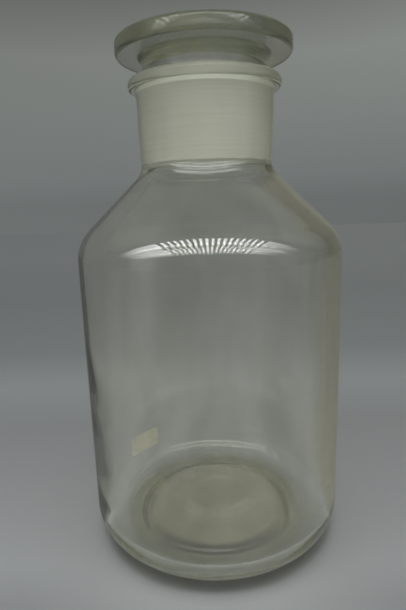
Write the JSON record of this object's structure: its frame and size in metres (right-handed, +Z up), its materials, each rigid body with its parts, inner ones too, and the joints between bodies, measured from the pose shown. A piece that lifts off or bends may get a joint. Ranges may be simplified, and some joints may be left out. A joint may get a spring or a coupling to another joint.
{
  "type": "gas jar",
  "caption": "Wide-mouth clear glass jar with a sloping shoulder, a ground tapered neck and a flat rim, closed by a disc-headed ground glass stopper.",
  "frame": {"origin": "centre of the ring that the jar stands on, at table level", "axes": "+Z up along the jar's axis; the jar is seen from the -Y side, with +X to the right"},
  "size_m": [0.183, 0.183, 0.342],
  "materials": {
    "jar_glass": "gloss, ground white inside the neck",
    "stopper_glass": "gloss, ground white on the plug",
    "label_paper": "matte, aged"
  },
  "bodies": {
    "root": {"jar": "jar_glass", "stopper": "stopper_glass", "paper_label": "label_paper"}
  },
  "joints": []
}
